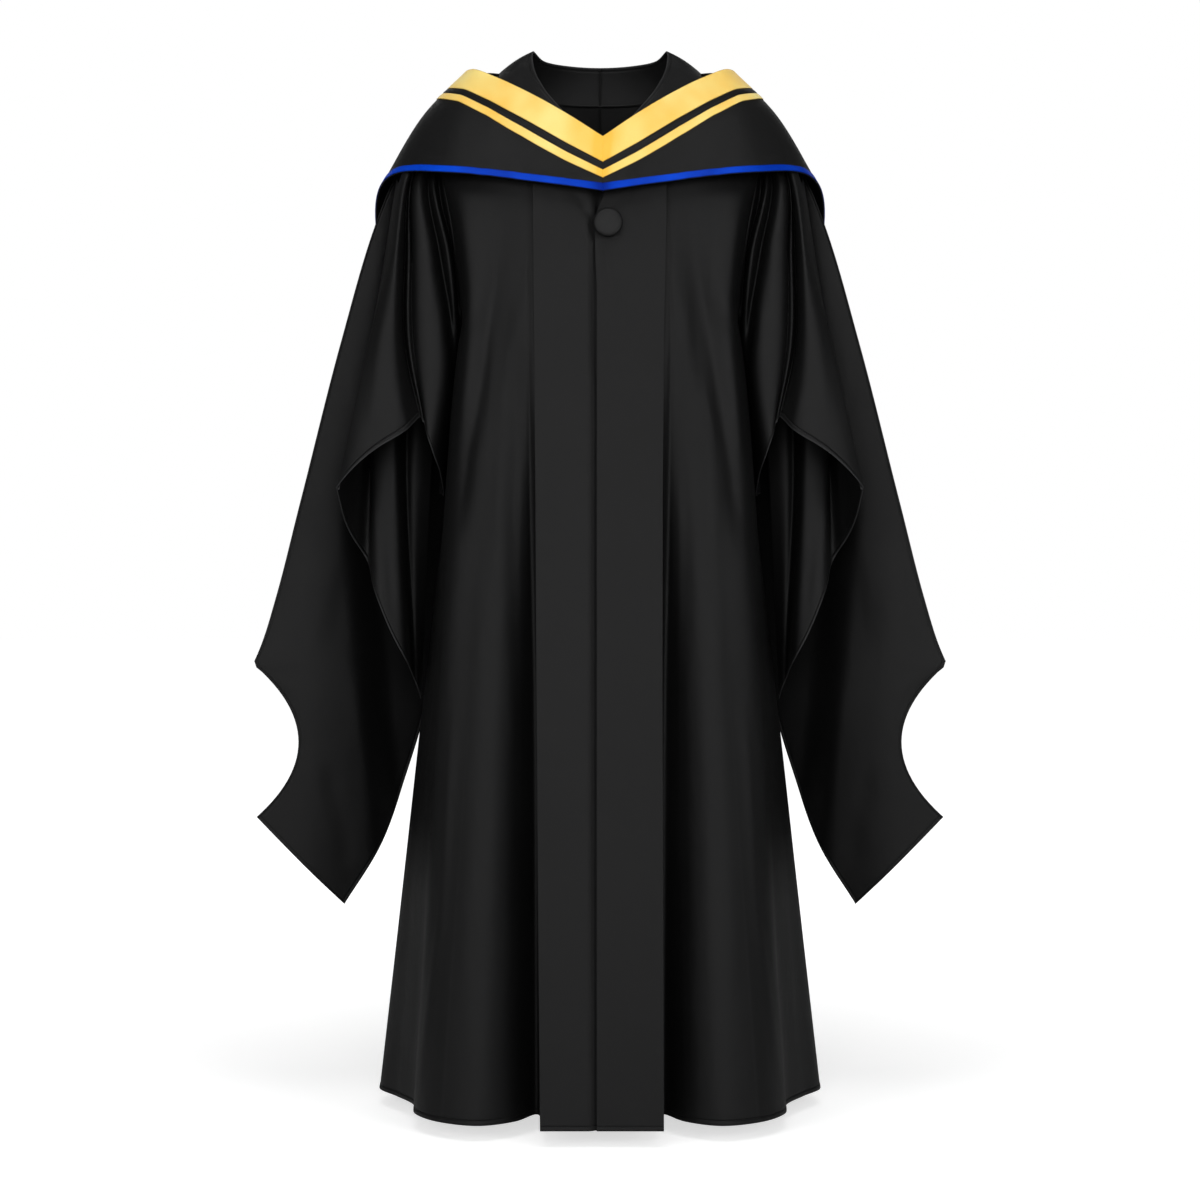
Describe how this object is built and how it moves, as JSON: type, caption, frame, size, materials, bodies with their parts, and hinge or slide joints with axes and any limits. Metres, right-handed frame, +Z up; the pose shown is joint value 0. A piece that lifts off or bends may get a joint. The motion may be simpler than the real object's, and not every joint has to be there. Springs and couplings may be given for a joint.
{
  "type": "graduation gown",
  "caption": "Open-front graduation gown with a hood: flared body, gathered bell sleeves with long hanging panels, satin bands at the neck and one covered button.",
  "frame": {"origin": "middle of the wearer's shoulders at the height where the shoulder seams lie, the place where the wearer holds the gown up", "axes": "+Z up along the wearer's body, +X to the wearer's left, the front faces -Y"},
  "size_m": [0.7628, 0.3778, 1.1481],
  "materials": {
    "gown_cloth": "black polyester, soft sheen",
    "hood_cloth": "black polyester, soft sheen",
    "button_cloth": "black cloth over a disc",
    "yellow_satin": "satin ribbon",
    "blue_satin": "satin ribbon"
  },
  "bodies": {
    "root": {"back_left": "gown_cloth", "back_right": "gown_cloth", "band_left": "gown_cloth", "band_right": "gown_cloth", "button": "button_cloth", "collar_left": "gown_cloth", "collar_right": "gown_cloth", "front_left": "gown_cloth", "front_right": "gown_cloth", "hood_edge_left": "blue_satin", "hood_edge_right": "blue_satin", "hood_left": "hood_cloth", "hood_narrow_band_left": "yellow_satin", "hood_narrow_band_right": "yellow_satin", "hood_right": "hood_cloth", "hood_wide_band_left": "yellow_satin", "hood_wide_band_right": "yellow_satin", "sleeve_front_left": "gown_cloth", "sleeve_front_right": "gown_cloth", "sleeve_inner_left": "gown_cloth", "sleeve_inner_right": "gown_cloth", "sleeve_wing_left": "gown_cloth", "sleeve_wing_right": "gown_cloth"}
  },
  "joints": []
}
